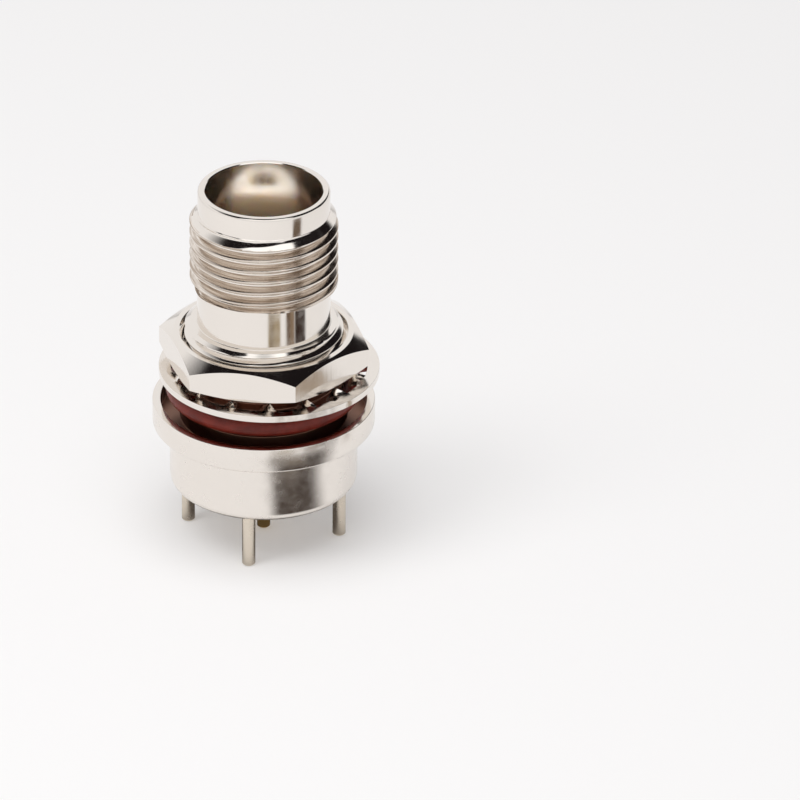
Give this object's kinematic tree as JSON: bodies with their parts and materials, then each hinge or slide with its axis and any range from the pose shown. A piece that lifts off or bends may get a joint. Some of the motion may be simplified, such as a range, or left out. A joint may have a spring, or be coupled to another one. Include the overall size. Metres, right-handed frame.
{
  "type": "threaded coaxial bulkhead jack",
  "caption": "Threaded coaxial bulkhead jack with panel nut, toothed lock washer, sealing ring and board legs.",
  "frame": {"origin": "on the jack's axis, in the plane of the tips of the four board legs that it stands on", "axes": "+Z along the axis towards the mating face; X and Y along the sides of the square of the legs"},
  "size_m": [0.017, 0.0169, 0.0287],
  "materials": {
    "nickel_plate": "nickel plated brass, polished",
    "nickel_plate_nut": "nickel plated brass, machined flats",
    "nickel_plate_washer": "nickel plated spring steel",
    "nickel_plate_leg": "nickel plated brass wire",
    "gold_plate": "gold plated copper alloy",
    "ptfe": "turned PTFE, matt",
    "silicone_rubber": "moulded silicone rubber"
  },
  "bodies": {
    "jack": {"shell": "nickel_plate", "front_insulator": "ptfe", "rear_insulator": "ptfe", "centre_contact": "gold_plate", "o_ring": "silicone_rubber", "board_leg_1": "nickel_plate_leg", "board_leg_2": "nickel_plate_leg", "board_leg_3": "nickel_plate_leg", "board_leg_4": "nickel_plate_leg"},
    "washer": {"lock_washer": "nickel_plate_washer"},
    "nut": {"hex_nut": "nickel_plate_nut"}
  },
  "joints": [
    {"name": "nut_travel", "type": "slide", "parent": "jack", "child": "washer", "axis": [0, 0, 1], "range_m": [0, 0.00281]},
    {"name": "nut_spin", "type": "hinge", "parent": "washer", "child": "nut", "pos_m": [0, 0, 0.01448], "axis": [0, 0, 1], "range_deg": [0, 1350]}
  ],
  "couplings": [
    {"joint": "nut_travel", "follows": "nut_spin", "m_per_rad": 0.00011937}
  ]
}
